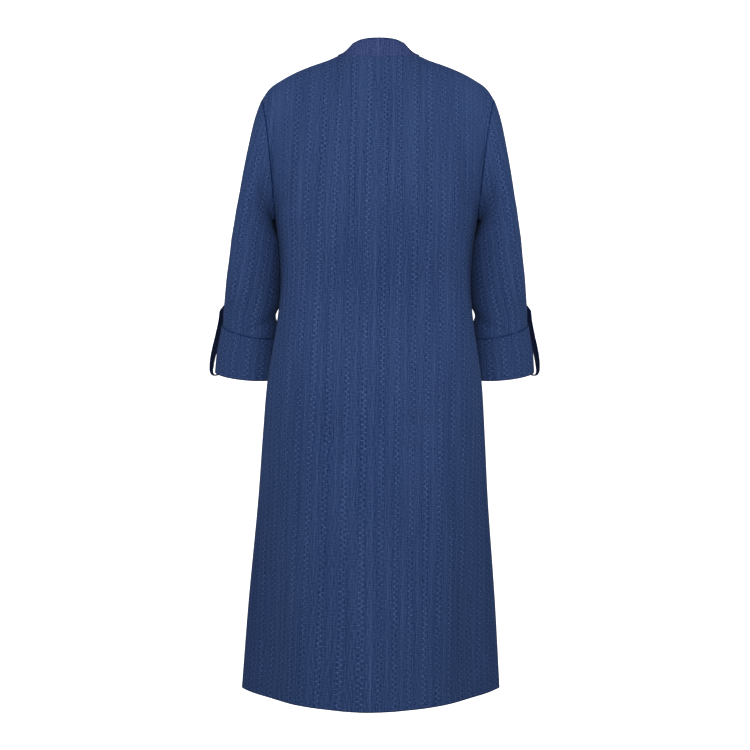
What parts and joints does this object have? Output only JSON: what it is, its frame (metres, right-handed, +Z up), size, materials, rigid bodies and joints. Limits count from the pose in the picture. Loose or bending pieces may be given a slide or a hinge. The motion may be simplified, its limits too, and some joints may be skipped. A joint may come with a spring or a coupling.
{
  "type": "knee-length manteau",
  "caption": "Knee-length light coat, worn form with nobody in it: stand collar behind, lapped button front, three-quarter sleeves with turned-up cuffs and buttoned roll-up tabs.",
  "frame": {"origin": "middle of the neck opening, level with the inner ends of the shoulder lines, where the wearer's neck and shoulders carry the coat", "axes": "+Z up, -Y the front, +Y the back, +X the wearer's left"},
  "size_m": [0.5371, 0.3007, 1.0476],
  "materials": {
    "cloth": "matte navy blue woven cloth with fine zigzag stripes",
    "tab_cloth": "the same cloth, two layers",
    "button": "dark navy button"
  },
  "bodies": {
    "root": {"back": "cloth", "front_left": "cloth", "front_right": "cloth", "collar": "cloth", "sleeve_left": "cloth", "sleeve_right": "cloth", "cuff_left": "cloth", "cuff_right": "cloth", "tab_left": "tab_cloth", "tab_right": "tab_cloth", "tab_button_left": "button", "tab_button_right": "button", "front_button_1": "button", "front_button_2": "button", "front_button_3": "button", "front_button_4": "button", "front_button_5": "button"}
  },
  "joints": []
}
